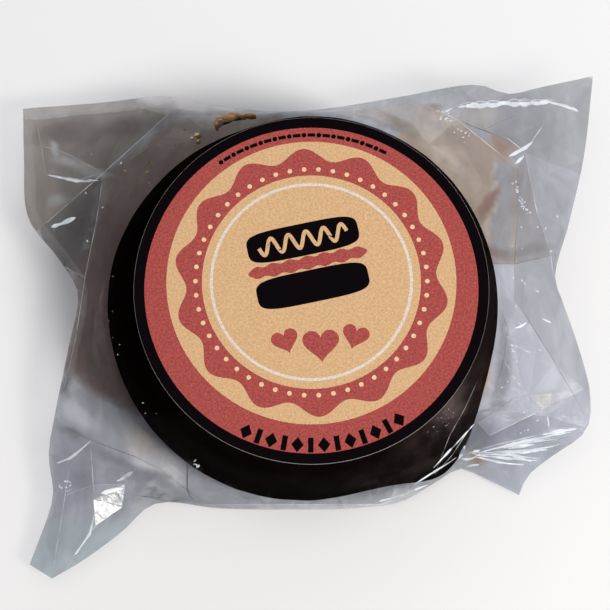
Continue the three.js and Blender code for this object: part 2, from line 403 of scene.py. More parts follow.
# The folds that were pressed into the bag as it was handled: how bright the fold's edge is, from -1
# for one in shade to 1, and its corners as x, y and rise over the drawn film, in millimetres.
FOLDS = [
    # back left ear
    (0.9, [(-22.4, 35.2, 0.2), (-34.7, 22.4, 1.2), (-46.0, 13.6, 0.4)]),
    (0.8, [(-34.7, 22.4, 1.2), (-35.6, 14.0, 0.6), (-37.6, 3.9, 0.2), (-39.2, -6.9, 0.2),
           (-41.7, -17.0, 0.1)]),
    (0.8, [(-45.2, 23.6, 0.5), (-39.0, 22.0, 0.5), (-34.7, 22.4, 1.2)]),
    (0.3, [(-47.2, 33.0, 0.0), (-46.3, 29.0, 0.6), (-41.8, 27.2, 0.9), (-34.7, 22.4, 1.2)]),
    (0.5, [(-44.8, 8.8, 0.2), (-37.6, 3.9, 0.2)]),
    (0.2, [(-45.2, 23.6, 0.5), (-46.3, 29.0, 0.6)]),
    (1.0, [(-43.9, 13.8, -0.1), (-39.6, 15.1, -0.4)]),
    # front left ear, with a flat that faces the key lamp between a ridge and a valley
    (-0.7, [(-41.8, -20.8, -0.3), (-36.4, -23.8, -0.8), (-28.4, -27.2, -1.0), (-24.0, -29.4, -0.6),
            (-17.5, -33.6, 0.0)]),
    (0.9, [(-36.4, -23.8, -0.8), (-39.9, -26.8, 0.4), (-42.4, -27.6, 0.0)]),
    (0.8, [(-36.4, -23.8, -0.8), (-35.8, -31.5, 0.5), (-35.7, -34.0, 0.25)]),
    (1.0, [(-35.7, -34.0, 0.25), (-35.4, -38.3, 0.15), (-39.3, -43.4, 0.6)]),
    (0.1, [(-35.8, -31.5, 0.5), (-30.4, -31.2, -3.6), (-31.0, -35.0, -2.8), (-35.4, -38.3, 0.15)]),
    (0.5, [(-39.9, -26.8, 0.4), (-40.8, -33.0, 0.3), (-42.8, -45.6, 0.3)]),
    (0.4, [(-28.6, -29.4, 0.3), (-30.4, -31.2, -3.6)]),
    (-0.6, [(-28.4, -33.4, -0.2), (-20.0, -33.6, -0.1)]),
    (0.3, [(-40.8, -33.0, 0.3), (-35.8, -31.5, 0.5)]),
    # back right ear
    (0.7, [(20.7, 35.8, 0.1), (27.0, 32.0, 1.1), (37.4, 23.2, 1.2)]),
    (0.6, [(27.0, 32.0, 1.1), (35.9, 28.8, 0.7), (38.8, 26.4, 1.2), (37.4, 23.2, 1.2)]),
    (1.0, [(24.2, 34.0, 0.2), (28.9, 35.6, 0.9), (36.0, 36.2, 1.0), (44.0, 36.6, 0.9), (48.9, 34.4, 0.5)]),
    (-0.4, [(31.6, 30.6, -0.3), (37.8, 34.0, -0.6)]),
    (0.5, [(38.8, 26.4, 1.2), (42.6, 32.4, 0.2)]),
    (-0.25, [(37.4, 23.2, 1.2), (37.1, 14.0, 0.7), (36.4, 5.8, 0.4), (36.2, -0.5, 0.4)]),
    (0.6, [(38.8, 26.4, 1.2), (40.6, 15.8, 0.9), (43.0, 8.0, 0.5), (43.8, 3.0, 0.2)]),
    (-0.5, [(31.8, 5.2, 0.0), (36.4, 5.8, 0.4), (43.0, 8.0, 0.5)]),
    # front right ear
    (-1.0, [(36.2, -0.5, 0.4), (39.2, -4.4, 0.1), (43.4, -10.7, -0.1), (46.3, -15.4, -0.1),
            (48.4, -19.2, 0.0)]),
    (0.8, [(48.6, -14.9, 0.2), (39.2, -19.8, 0.8), (31.9, -23.4, 0.6)]),
    (-0.7, [(29.7, -21.5, 0.1), (35.9, -17.3, 0.2), (38.7, -16.6, 0.1), (41.2, -18.8, 0.5)]),
    (-0.7, [(33.9, -2.9, 0.0), (35.0, -5.6, -0.2), (34.3, -10.7, -0.3), (32.8, -16.3, -0.1)]),
    # the gathered film at the front right notch
    (0.9, [(28.4, -26.0, 0.1), (33.5, -24.6, 0.7), (40.6, -22.9, 0.5), (48.3, -21.4, 0.1)]),
    (-0.4, [(28.4, -26.0, 0.1), (34.0, -25.4, -0.3), (41.0, -24.0, -0.3), (46.8, -22.9, 0.0)]),
    (1.0, [(28.4, -26.0, 0.1), (34.6, -26.0, 0.7), (41.5, -25.1, 0.6), (45.4, -23.9, 0.1)]),
    (-0.4, [(28.4, -26.0, 0.1), (34.2, -26.9, -0.3), (41.0, -26.2, -0.1)]),
    (0.8, [(28.4, -26.0, 0.1), (33.6, -27.6, 0.5), (39.6, -27.4, 0.2)]),
    (0.7, [(42.1, -19.8, 0.5), (42.3, -21.6, 0.3)]),
    # over the biscuit's front right
    (0.1, [(29.6, -14.9, 0.1), (27.4, -19.6, 0.4), (24.9, -23.9, 0.35), (22.8, -29.2, 0.1)]),
    (0.6, [(28.6, -22.3, 0.1), (25.6, -26.4, 0.35), (22.8, -29.2, 0.1)]),
]
# Between the folds, chance corners at least this far apart split the film into small facets.
FACET_SPACING = 3.72
FACET_TRIES = 1500
CHANCE_RISE = 0.4
# The width of free film from which a chance corner may rise all the way.
WIDE_FILM = 12
# The folds die out over these distances from the drum and from the seal.
DRUM_FADE = 1.2
SEAL_FADE = 1.4
FACET_SHARE = 0.92


def facet_net(rng):
    """Splits the film between the shoulder and the seal into flat facets: corners, heights, triangles."""
    turns = np.linspace(0, 2 * math.pi, 40, endpoint=False)
    ring = np.stack([np.cos(turns), np.sin(turns)], axis=1) * (around(turns, seal_leave) - 0.3)[:, None]
    places = [(*p, 0.0) for p in np.concatenate([seal_xy[::3], ring])]
    pairs = []
    for _, corners in FOLDS:
        pairs += [(len(places) + i, len(places) + i + 1) for i in range(len(corners) - 1)]
        places += corners
    for _ in range(FACET_TRIES):
        turn, share = rng.uniform(0, 2 * math.pi), rng.uniform(0.04, 0.93)
        inner, outer = around(turn, seal_leave), around(turn, seal_radius)
        r = math.sqrt(inner ** 2 + (outer ** 2 - inner ** 2) * share)
        spot = np.array([r * math.cos(turn), r * math.sin(turn)])
        if np.hypot(*(np.array(places)[:, :2] - spot).T).min() > FACET_SPACING:
            places.append((*spot, rng.uniform(-1, 1) * CHANCE_RISE * min(1, (outer - inner) / WIDE_FILM)))
    flat, _, triangles, origin, _, _ = delaunay_2d_cdt([Vector(p[:2]) for p in places], pairs, [], 0, 1e-4)
    flat = np.array([tuple(p) for p in flat])
    rises = np.array([np.mean([places[i][2] for i in ids]) if ids else 0.0 for ids in origin])
    return flat, upper_film(flat[:, 0], flat[:, 1]) + rises, triangles


facets = facet_net(np.random.default_rng(62))


def facet_at(x, y):
    """The number of the facet at each place, and how the place lies between its corners."""
    flat, _, triangles = facets
    number, share = np.full(np.shape(x), -1), np.zeros((2, *np.shape(x)))
    for k, (a, b, c) in enumerate(triangles):
        (ax, ay), (bx, by), (cx, cy) = flat[a], flat[b], flat[c]
        area = (bx - ax) * (cy - ay) - (cx - ax) * (by - ay)
        if abs(area) < 1e-9:
            continue
        s = ((x - ax) * (cy - ay) - (cx - ax) * (y - ay)) / area
        t = ((bx - ax) * (y - ay) - (x - ax) * (by - ay)) / area
        inside = (s >= -1e-6) & (t >= -1e-6) & (s + t <= 1 + 1e-6)
        number[inside], share[0, inside], share[1, inside] = k, s[inside], t[inside]
    return number, share


def folded_film(x, y):
    """Height of the upper film with its folds, which die out at the drum and at the seal."""
    drawn = upper_film(x, y)
    _, heights, triangles = facets
    number, (s, t) = facet_at(x, y)
    a, b, c = heights[np.array(triangles)[number]].T
    creased = np.where(number < 0, drawn, a + s * (b - a) + t * (c - a))
    angle, r = polar(x, y)
    free = (np.clip((r - around(angle, seal_leave)) / DRUM_FADE, 0, 1)
            * np.clip((around(angle, seal_radius) - r) / SEAL_FADE, 0, 1))
    height = drawn + (creased - drawn) * free * FACET_SHARE
    # Over the coating the film can only rise.
    on_coating = r < DRUM_GIRTH_RADIUS + pressed_out(angle)
    height = np.where(on_coating, np.maximum(height, drawn), height)
    return np.maximum(height, lower_film(x, y) + 2 * SEAL_HALF)


# The film's grey cast is painted shade: it stands for the shaded table seen through the film.
FILM_HEX = "DCDEE2"
# Zones between folds, of painted shade and painted reflection: film made darker, warmer and paler where
# the table's shade and the room show in it. Colour and corners in millimetres.
PAINTED_SHADE_AND_REFLECTION_ZONES = [
    ("D8D9DC", [(24, 34), (38.8, 26.4), (60, 20), (60, 60), (20, 60)]),
    ("E1D8D0", [(20.7, 35.8), (27.0, 32.0), (37.4, 23.2), (37.1, 14.0), (36.4, 5.8), (31.8, 5.2),
                (25, 5), (15, 25)]),
    ("D6D5D8", [(38.8, 26.4), (40.6, 15.8), (43.0, 8.0), (36.4, 5.8), (37.1, 14.0), (37.4, 23.2)]),
    ("DFE0E5", [(36.4, 5.8), (43.0, 8.0), (60, 6), (60, -14), (48.6, -14.9), (43.4, -10.7),
                (39.2, -4.4), (36.2, -0.5)]),
    ("ECEEF3", [(31.8, 5.2), (36.4, 5.8), (36.2, -0.5), (39.2, -4.4), (43.4, -10.7), (48.6, -14.9),
                (39.2, -19.8), (38.7, -16.6), (20, -23)]),
    ("EEF0F5", [(29.7, -21.5), (35.9, -17.3), (38.7, -16.6), (39.2, -19.8), (31.9, -23.4)]),
    ("DEE0E6", [(31.9, -23.4), (39.2, -19.8), (48.6, -14.9), (60, -14), (60, -60), (24, -60)]),
    ("D1CDC9", [(-22.4, 35.2), (-34.7, 22.4), (-46.0, 13.6), (-60, 10), (-60, 60), (-14, 60)]),
    ("DCDAD8", [(-60, 36.5), (-47.4, 34.0), (-35.9, 34.9), (-27.9, 35.3), (-24.2, 33.7), (-18.0, 33.3),
                (-10, 34), (-10, 60), (-60, 60)]),
    ("BFBDBB", [(-34.7, 22.4), (-46.0, 13.6), (-44.8, 8.8), (-37.6, 3.9), (-35.6, 14.0)]),
]
# Zones without a fold for an edge, over the ones above: painted shade, such as the biscuit's shadow under
# the film, and painted light where the film is made paler. Colour, the width over which the edge fades in
# millimetres, and corners.
SOFT_PAINTED_LIGHT_AND_SHADE_ZONES = [
    ("FBF9F9", 2.0, [(-29, 37), (-24, 35.0), (-18, 34.4), (-6, 35.4), (-6, 60), (-31, 60)]),
    ("CCC4BF", 2.0, [(-20, 32.6), (-24, 31.4), (-34.7, 22.0), (-36, 8), (-20, 2), (0, 25), (-4, 32)]),
    ("C4B9B5", 1.8, [(-34.9, 17.0), (-35.8, 12.0), (-40.0, 3.9), (-42.5, -6.9), (-42.5, -11.2),
                     (-39.8, -12.6), (-34.8, -16.6), (-28.0, -20.4), (-18, -22), (-25, 12)]),
    ("D3D4DA", 3.0, [(-42.0, -20.5), (-35.0, -23.0), (-35.0, -33.0), (-42.6, -36.5)]),
    ("DCE2E5", 3.0, [(-44, -38), (-34, -38), (-28, -36), (-38, -50), (-50, -46)]),
    ("F1F1F3", 2.0, [(-30.0, -24.8), (-22.0, -27.0), (-16.0, -31.0), (-20.0, -34.0), (-29.0, -29.5)]),
    ("EBECF0", 1.0, [(-17, -30), (-16, -42), (24, -42), (21, -31.5), (14, -33.2), (4.4, -34.6), (-6, -34.6),
                     (-13, -32.5)]),
    ("DADBE0", 1.6, [(-20.5, -28.0), (-21.0, -34.0), (-12.0, -36.5), (-8.0, -36.5), (-9.0, -32.0)]),
    ("DADADD", 1.0, [(33.8, 26.3), (37.2, 23.5), (36.8, 14.0), (36.3, 5.9), (31.9, 5.3), (32.5, 13.7),
                     (33.3, 20.4)]),
    ("D4D5DA", 1.4, [(34.0, -3.0), (35.6, -8.0), (35.4, -14.0), (34.0, -19.0), (31.8, -19.5), (32.8, -14.0),
                     (33.4, -8.0)]),
]
# Places where the film is rubbed dull and throws back only a little of a lamp.
RUBBED_DULL = 0.8
RUBBED_PLACES = [
    [(33, -10), (54, -8), (54, -24), (40, -30), (28, -26)],
    [(24, 28), (34, 40), (52, 40), (52, 10), (38, 10)],
]
# The mesh: how many pieces each stretch of the seal has, how long the pieces of a fold are, how far
# inside the seal the zones' outlines end, the rings over the biscuit, and the free film's grid.
SEAL_PIECES = 3
FOLD_STEP = 1.2
ZONE_INSET = 0.4
RING_SECTORS = 200
INNER_RINGS = (12, 22, 25.5)
RING_MARGIN = 0.4
FILM_STEP = 1.5
FILM_STRAY = 0.3
GRID_INSET = 0.5


def film_plan(rng):
    """Places and triangles of the film in plan, with the folds as edges, and which edges are folds."""
    ahead = np.roll(seal_xy, -1, axis=0) - seal_xy
    rim = (seal_xy[:, None] + ahead[:, None] * (np.arange(SEAL_PIECES) / SEAL_PIECES)[:, None]).reshape(-1, 2)
    pairs = [(i, (i + 1) % len(rim)) for i in range(len(rim))]
    places = list(map(tuple, rim))

    def lay_line(walk):
        """Adds the places along a line, and the edges between them."""
        first = len(places)
        places.extend(map(tuple, walk))
        pairs.extend((k, k + 1) for k in range(first, len(places) - 1))

    flat, _, triangles = facets
    for i, j in {tuple(sorted(pair)) for a, b, c in triangles for pair in ((a, b), (b, c), (c, a))}:
        steps = max(1, round(np.hypot(*(flat[j] - flat[i])) / FOLD_STEP))
        lay_line([flat[i] + (flat[j] - flat[i]) * k / steps for k in range(steps + 1)])
    fold_pairs = range(len(rim), len(pairs))
    for _, outline in PAINTED_SHADE_AND_REFLECTION_ZONES:
        for start, end in zip(outline, outline[1:] + outline[:1]):
            share = np.linspace(0, 1, max(2, round(math.dist(start, end) / FOLD_STEP)))[:, None]
            walk = np.array(start) * (1 - share) + np.array(end) * share
            angle, r = polar(*walk.T)
            lay_line(walk * (np.minimum(r, around(angle, seal_radius) - ZONE_INSET) / r)[:, None])
    turns = np.linspace(0, 2 * math.pi, RING_SECTORS, endpoint=False)
    for r in [*INNER_RINGS, *shoulder_radii(15)]:
        on = turns[r < around(turns, seal_leave) + RING_MARGIN]
        places += list(zip(r * np.cos(on), r * np.sin(on)))
    rows = np.arange(-50, 54, FILM_STEP)
    for px in rows:
        for py in rows:
            qx, qy = (p + rng.uniform(-FILM_STRAY, FILM_STRAY) * FILM_STEP for p in (px, py))
            angle, r = polar(qx, qy)
            if around(angle, seal_leave) + RING_MARGIN < r < around(angle, seal_radius) - GRID_INSET:
                places.append((qx, qy))
    found, edges, triangles, origin, edge_origin, _ = delaunay_2d_cdt(
        [Vector(p) for p in places], pairs, [], 0, 1e-3)
    found = np.array([tuple(p) for p in found])
    middle = np.array([found[list(t)].mean(axis=0) for t in triangles])
    k = (np.searchsorted(seal_angle, polar(*middle.T)[0]) - 1) % len(seal_xy)
    run = np.roll(seal_xy, -1, axis=0)[k] - seal_xy[k]
    out = middle - seal_xy[k]
    kept = [t for t, left in zip(triangles, run[:, 0] * out[:, 1] - run[:, 1] * out[:, 0]) if left > 0]
    rim_ids = {i for i, ids in enumerate(origin) if any(k < len(rim) for k in ids)}
    folds = [pair for pair, ids in zip(edges, edge_origin) if any(k in fold_pairs for k in ids)]
    return found, kept, rim_ids, folds


plan, triangles, rim_ids, fold_edges = film_plan(np.random.default_rng(7))
used = sorted({i for t in triangles for i in t})
new_index = {old: new for new, old in enumerate(used)}
x, y = plan[used].T
on_rim = np.array([i in rim_ids for i in used])
low = lower_film(x, y)
top = folded_film(x, y)
top[on_rim] = around(polar(x, y)[0], seal_height)[on_rim]
lower_index = np.arange(len(used))
lower_index[~on_rim] = len(used) + np.arange((~on_rim).sum())
film_points = np.concatenate([np.stack([x, y, top], axis=1), np.stack([x, y, low], axis=1)[~on_rim]])
faces = [tuple(new_index[i] for i in t) for t in triangles]
faces += [tuple(int(lower_index[i]) for i in reversed(face)) for face in faces]

# Oriented polypropylene film: clear, with a grey cast that is painted shade for the table seen through it,
# mirror-like where it stands free and dull where it clings to the biscuit. Its welded edge is hazy, and
# handling has left fine wrinkles in it.
# Painted reflection: each facet's colour is scaled at random by up to this share, as if it mirrored the room.
PAINTED_FACET_REFLECTION_SPREAD = 0.025
# Soft-edged places of painted shade, painted light and painted reflection: film made deeper or paler. Centre
# and half size in millimetres, turn in degrees, and colour.
PAINTED_LIGHT_AND_SHADE_PLACES = [
    ((31.8, 16.2), (0.8, 4.4), -30, "CFBEB6"),
    ((35.0, 27.0), (2.0, 2.4), 30, "DDCFC7"),
    ((24.0, 31.0), (7.0, 1.2), -35, "D8D2CF"),
    ((-1.0, 33.6), (8.0, 1.7), 0, "F6F7FA"),
    ((15.5, 32.6), (7.5, 2.6), -8, "DBD9D7"),
    ((31.0, 32.4), (4.6, 2.0), -4, "E6E4E3"),
    ((23.0, 34.4), (1.8, 1.0), 10, "CFC8C4"),
    ((16.6, 30.7), (3.4, 1.3), -34, "C9C2BC"),
    ((33.8, 7.4), (3.6, 1.1), 6, "CDC6C3"),
    ((39.6, 8.6), (3.4, 1.0), 14, "CBCACC"),
    ((-32.0, 31.5), (10.0, 2.2), 4, "C0BAB7"),
    ((-43.0, 31.5), (4.5, 2.6), 10, "BCB8B4"),
    ((-26.6, -24.4), (3.4, 1.5), -42, "F1EDEA"),
    ((31.0, -14.0), (1.0, 4.5), -14, "F0E8E4"),
    ((30.4, -26.6), (1.7, 1.3), -20, "CDC3B8"),
    ((41.2, -17.0), (2.6, 1.2), -10, "E4E4E2"),
    ((46.0, -13.0), (3.0, 1.4), -40, "DFE0E4"),
    ((-22.6, -33.2), (2.8, 0.45), 2, "ACADA9"),
    ((-40.7, -14.6), (0.9, 3.2), -12, "B8B8BA"),
    ((-43.6, 6.4), (3.0, 1.6), -36, "8C8682"),
    ((-33.5, -26.6), (7.5, 0.9), -27, "CCCED3"),
    ((-23.5, -31.8), (8.0, 1.1), -18, "CFD0D5"),
    ((-39.8, -22.4), (2.6, 0.8), -22, "C0C2C5"),
    ((-39.5, 24.2), (4.6, 1.1), -28, "E9E9E9"),
    ((-43.2, 27.8), (2.4, 0.9), -48, "E8E8E9"),
    ((-36.2, 21.8), (3.2, 0.8), -16, "E9E9E9"),
    ((-43.0, 18.6), (1.6, 1.2), 20, "E2E2E2"),
    ((-38.6, -19.2), (4.2, 1.6), -38, "EDEFF4"),
]
# A toned place fades from nothing to full between these shares of its half size.
TONED_FADE = (1.6, 0.1)
# The outlines of the painted shade and light, and the film's smoke, wrinkles and rubs, wander by up to half
# of this, over this width.
WANDER = 5
WANDER_MM = 8
# Between these values lies most of what a noise texture gives.
NOISE_SPAN = (0.3, 0.7)
SMOKE_MM = 4.5
SMOKE_DEPTH = 0.07
RUB_MM = 1.6
WRINKLE_MM = 2.6
WRINKLE_HIGH = 0.24
STREAK_MM = 0.8
STREAK_HIGH = 0.09
FILM_SHADOW_HEX = "F6F6F8"
FILM_ROUGHNESS = 0.26
# The share that is mirrored by free film, seen square on and at a slant, and by film on the coating.
MIRROR_FREE = (0.09, 0.5)
MIRROR_SLANT = 5.0
MIRROR_CLINGING = 0.0005
EDGE_HAZE_WIDTH = 1.9
EDGE_HAZE_SHARE = 0.07
EDGE_HAZE_HEX = "D9DCE0"
# Only the left edge and the left of the back edge have the hazy weld. Elsewhere this much is added to
# the distance from the seal, which is more than the haze is wide.
HAZY_ENDS = (math.radians(75), math.radians(205))
PAST_HAZE = 20
# Out to this distance from the biscuit's axis the film lies close on the chocolate. At the front,
# where the bag is drawn tightest, it does so nearly down to the seal.
CLING_RADIUS = 34.5
CLING_MORE_AT_FRONT = 1.1
CLING_FADE = 0.4


def toned_place(tree, place, below, centre, half, turn, hex_code):
    """Mixes another colour over the one below, inside a soft-edged oval."""
    moved = add(tree, "VectorMath", [place, (centre[0] * MM, centre[1] * MM, 0)], operation="SUBTRACT")
    turned = add(tree, "VectorRotate", {"Vector": moved, "Angle": math.radians(-turn)},
                 rotation_type="Z_AXIS")
    per_half = (1 / half[0] / MM, 1 / half[1] / MM, 0)
    scaled = add(tree, "VectorMath", [turned, per_half], operation="MULTIPLY")
    reach = add(tree, "VectorMath", [scaled], operation="LENGTH")
    inside = add(tree, "MapRange", [reach, *TONED_FADE, 0.0, 1.0], interpolation_type="SMOOTHSTEP")
    return add(tree, "Mix", [inside, below, linear(hex_code)], data_type="RGBA")


film_plastic, tree = new_material("clear_polypropylene_film")
place = add(tree, "TexCoord").outputs["Object"]
drift = add(tree, "TexNoise", {"Vector": place, "Scale": 1 / (WANDER_MM * MM), "Detail": 3.0})
centred = add(tree, "VectorMath", [drift.outputs["Color"], (0.5, 0.5, 0.5)], operation="SUBTRACT")
wandered = add(tree, "VectorMath", [centred, (WANDER * MM, WANDER * MM, 0), place],
               operation="MULTIPLY_ADD")
zone = add(tree, "Attribute", attribute_name="zone_colour")
soft = add(tree, "Attribute", attribute_name="soft_tone")
colour = add(tree, "Mix", [soft.outputs["Alpha"], zone, soft], data_type="RGBA")
# Soft ovals of painted shade, painted light and painted reflection over the film's colour.
for toned in PAINTED_LIGHT_AND_SHADE_PLACES:
    colour = toned_place(tree, wandered, colour, *toned)
# Grease and fine scuffs leave faint smoky streaks.
smeared = add(tree, "VectorMath", [wandered, (1, 0.4, 1)], operation="MULTIPLY")
smoke = add(tree, "TexNoise", {"Vector": smeared, "Scale": 1 / (SMOKE_MM * MM), "Detail": 4.0,
                               "Distortion": 0.8})
smoky = add(tree, "MapRange", [smoke, *NOISE_SPAN, 1 - SMOKE_DEPTH, 1 + SMOKE_DEPTH])
colour = add(tree, "VectorMath", [colour, smoky], operation="SCALE")
# The upper sheet carries the cast of both, so that each zone has one edge; its alpha tells it apart.
upper_sheet = zone.outputs["Alpha"]
cast = add(tree, "Mix", [upper_sheet, (1, 1, 1, 1), colour], data_type="RGBA")
twice = add(tree, "VectorMath", [cast, cast], operation="MULTIPLY")
# Thin clear film throws next to no shadow.
in_shadow = add(tree, "LightPath").outputs["Is Shadow Ray"]
seen = add(tree, "Mix", [in_shadow, twice, linear(FILM_SHADOW_HEX)], data_type="RGBA")
clear = add(tree, "BsdfTransparent", [seen])

long_way = add(tree, "VectorMath", [wandered, (1, 2.2, 1)], operation="MULTIPLY")
wrinkles = add(tree, "TexNoise", {"Vector": long_way, "Scale": 1 / (WRINKLE_MM * MM), "Detail": 2.0,
                                  "Distortion": 0.6})
wrinkled = add(tree, "Bump", {"Height": wrinkles, "Strength": 0.5, "Distance": WRINKLE_HIGH * MM})
drawn_out = add(tree, "VectorMath", [wandered, (1, 0.22, 1)], operation="MULTIPLY")
streaks = add(tree, "TexNoise", {"Vector": drawn_out, "Scale": 1 / (STREAK_MM * MM), "Detail": 3.0,
                                 "Roughness": 0.6})
streaked = add(tree, "Bump", {"Height": streaks, "Strength": 0.5, "Distance": STREAK_HIGH * MM,
                              "Normal": wrinkled})
gloss = add(tree, "BsdfGlossy", {"Roughness": FILM_ROUGHNESS, "Normal": streaked})
facing = add(tree, "LayerWeight", {"Blend": 0.5}).outputs["Facing"]
slant = add(tree, "Math", [facing, MIRROR_SLANT], operation="POWER")
free_mirror = add(tree, "MapRange", [slant, 0.0, 1.0, *MIRROR_FREE])
cling = add(tree, "Attribute", attribute_name="cling").outputs["Fac"]
near = add(tree, "Mix", [cling, free_mirror, MIRROR_CLINGING])
rubs = add(tree, "TexNoise", {"Vector": wandered, "Scale": 1 / (RUB_MM * MM), "Detail": 3.0,
                              "Distortion": 1.0})
rubbed = add(tree, "MapRange", [rubs, 0.36, 0.62, 0.5, 1.0])
uneven = add(tree, "Math", [near, rubbed], operation="MULTIPLY")
mirror = add(tree, "Math", [uneven, upper_sheet], operation="MULTIPLY")
with_gloss = add(tree, "MixShader", [mirror, clear, gloss])

from_seal = add(tree, "Attribute", attribute_name="from_seal").outputs["Fac"]
patchy = add(tree, "MapRange", [drift, *NOISE_SPAN, 0.8 * EDGE_HAZE_WIDTH, 1.2 * EDGE_HAZE_WIDTH])
at_edge = add(tree, "Math", [from_seal, patchy], operation="LESS_THAN")
haze_share = add(tree, "MapRange", [at_edge, 0.0, 1.0, 0.0, EDGE_HAZE_SHARE])
haze = add(tree, "BsdfDiffuse", [linear(EDGE_HAZE_HEX)])
add(tree, "OutputMaterial", [add(tree, "MixShader", [haze_share, with_gloss, haze])])


def inside_outline(places, outline):
    """Whether each place lies inside a closed outline."""
    crossed = np.zeros(len(places), bool)
    for (x0, y0), (x1, y1) in zip(outline, outline[1:] + outline[:1]):
        between = (places[:, 1] < y0) != (places[:, 1] < y1)
        crossed ^= between & (places[:, 0] < x0 + (places[:, 1] - y0) * (x1 - x0) / ((y1 - y0) or 1))
    return crossed


def distance_to_outline(places, outline):
    """How far each place is from a closed outline, in plan."""
    outline = np.array(outline, float)
    nearest = np.full(len(places), np.inf)
    for start, end in zip(outline, np.roll(outline, -1, axis=0)):
        run = end - start
        t = np.clip((places - start) @ run / (run @ run), 0, 1)[:, None]
        nearest = np.minimum(nearest, np.hypot(*(places - start - t * run).T))
    return nearest


def soft_tones(places):
    """The colour and share of the soft zones of painted light and shade at each place."""
    tone = np.ones((len(places), 4))
    tone[:, 3] = 0
    for hex_code, fade, outline in SOFT_PAINTED_LIGHT_AND_SHADE_ZONES:
        depth = distance_to_outline(places, outline) * np.where(inside_outline(places, outline), 1, -1)
        share = np.clip(depth / fade + 0.5, 0, 1)
        share = share * share * (3 - 2 * share)
        total = share + tone[:, 3] * (1 - share)
        weight = (share / np.maximum(total, 1e-6))[:, None]
        tone[:, :3] += (np.array(linear(hex_code)[:3]) - tone[:, :3]) * weight
        tone[:, 3] = total
    return tone


film_bag = mesh_piece("film_bag_film", film_points, faces, film_plastic)
film_xy = film_points[:, :2]
turn, reach = polar(film_points[:, 0], film_points[:, 1])
frontal = np.clip(-np.sin(turn), 0, 1) ** 2
clinging_reach = CLING_RADIUS + CLING_MORE_AT_FRONT * frontal + pressed_out(turn)
clinging = np.clip((clinging_reach - reach) / CLING_FADE, 0, 1)
hazy = (turn % (2 * math.pi) > HAZY_ENDS[0]) & (turn % (2 * math.pi) < HAZY_ENDS[1])
past_haze = PAST_HAZE * np.where(hazy, clinging, 1)
rubbed_dull = RUBBED_DULL * np.max([inside_outline(film_xy, outline) for outline in RUBBED_PLACES], axis=0)
for name, values in (("from_seal", distance_to_outline(film_xy, seal_xy) + past_haze),
                     ("cling", np.maximum(clinging, rubbed_dull))):
    layer = film_bag.data.attributes.new(name, "FLOAT", "POINT")
    layer.data.foreach_set("value", values.astype(np.float32))
middles = film_points[np.array(faces)].mean(axis=1)[:, :2]
# A random painted reflection for each facet.
tones = np.random.default_rng(11).uniform(1 - PAINTED_FACET_REFLECTION_SPREAD, 1 + PAINTED_FACET_REFLECTION_SPREAD, len(facets[2]) + 1)
# The film's colour carries painted shade and painted reflection: its cast, the zones and the facets' tones.
face_colours = np.tile(linear(FILM_HEX), (len(faces), 1))
for hex_code, outline in PAINTED_SHADE_AND_REFLECTION_ZONES:
    face_colours[inside_outline(middles, outline)] = linear(hex_code)
face_colours[:, :3] *= tones[facet_at(*middles.T)[0]][:, None]
face_colours[len(triangles):, 3] = 0
for name, values, domain in (("zone_colour", face_colours, "FACE"),
                             ("soft_tone", soft_tones(film_xy), "POINT")):
    layer = film_bag.data.attributes.new(name, "FLOAT_COLOR", domain)
    layer.data.foreach_set("color", np.minimum(values, 1).astype(np.float32).ravel())
# Folds keep a crisp edge, away from the drum and the seal where they die out.
edge_of = {frozenset(edge.vertices): edge for edge in film_bag.data.edges}
for i, j in fold_edges:
    edge = edge_of.get(frozenset((new_index.get(i), new_index.get(j))))
    if edge is not None and polar(*((plan[i] + plan[j]) / 2))[1] > DRUM_GIRTH_RADIUS:
        edge.use_edge_sharp = True
stand_for(film_bag, "film_bag")

# Where the film was pressed flat, its fold is drawn as a thin line of painted light: a painted highlight
# where it stands up and would catch the light, painted shade where it lies in shade.
FOLD_LINE_HALF = 0.08
RIBBON_LIFT = 0.04
# A strip's places lie this far apart, its width changes over this length, and it ends at the latest
# this far inside the seal.
STRIP_STEP = 0.5
STRIP_RAGGED_MM = 2.2
STRIP_INSET = 0.25


def fold_ribbons(folds, widest, ragged=STRIP_RAGGED_MM):
    """Thin strips along the folds, just above the film, with an uneven width, that taper out."""
    points, faces = [], []
    for level, corners in folds:
        corners = np.array(corners)[:, :2]
        walked = np.concatenate([[0], np.cumsum(np.hypot(*np.diff(corners, axis=0).T))])
        t = np.linspace(0, walked[-1], max(4, int(walked[-1] / STRIP_STEP)))
        mid = np.stack([np.interp(t, walked, corners[:, k]) for k in (0, 1)], axis=1)
        angle, r = polar(*mid.T)
        within = r < around(angle, seal_radius) - STRIP_INSET
        t, mid = t[within], mid[within]
        ahead = np.gradient(mid, axis=0)
        side = np.stack([-ahead[:, 1], ahead[:, 0]], axis=1) / np.hypot(*ahead.T)[:, None]
        taper = np.sin(math.pi * np.clip(t / walked[-1], 0.02, 0.98)) ** 0.5
        uneven = np.array([0.8 + 0.7 * noise.noise(Vector((*p, 3.0)) / ragged) for p in mid])
        half = (widest * (0.4 + 0.6 * abs(level)) * taper * uneven)[:, None]
        first = len(points)
        points += list(np.stack([mid + side * half, mid, mid - side * half], axis=1).reshape(-1, 2))
        faces += [(first + 3 * k + i, first + 3 * k + i + 1, first + 3 * k + i + 4, first + 3 * k + i + 3)
                  for k in range(len(t) - 1) for i in (0, 1)]
    x, y = np.array(points).T
    return np.stack([x, y, folded_film(x, y) + RIBBON_LIFT], axis=1), faces


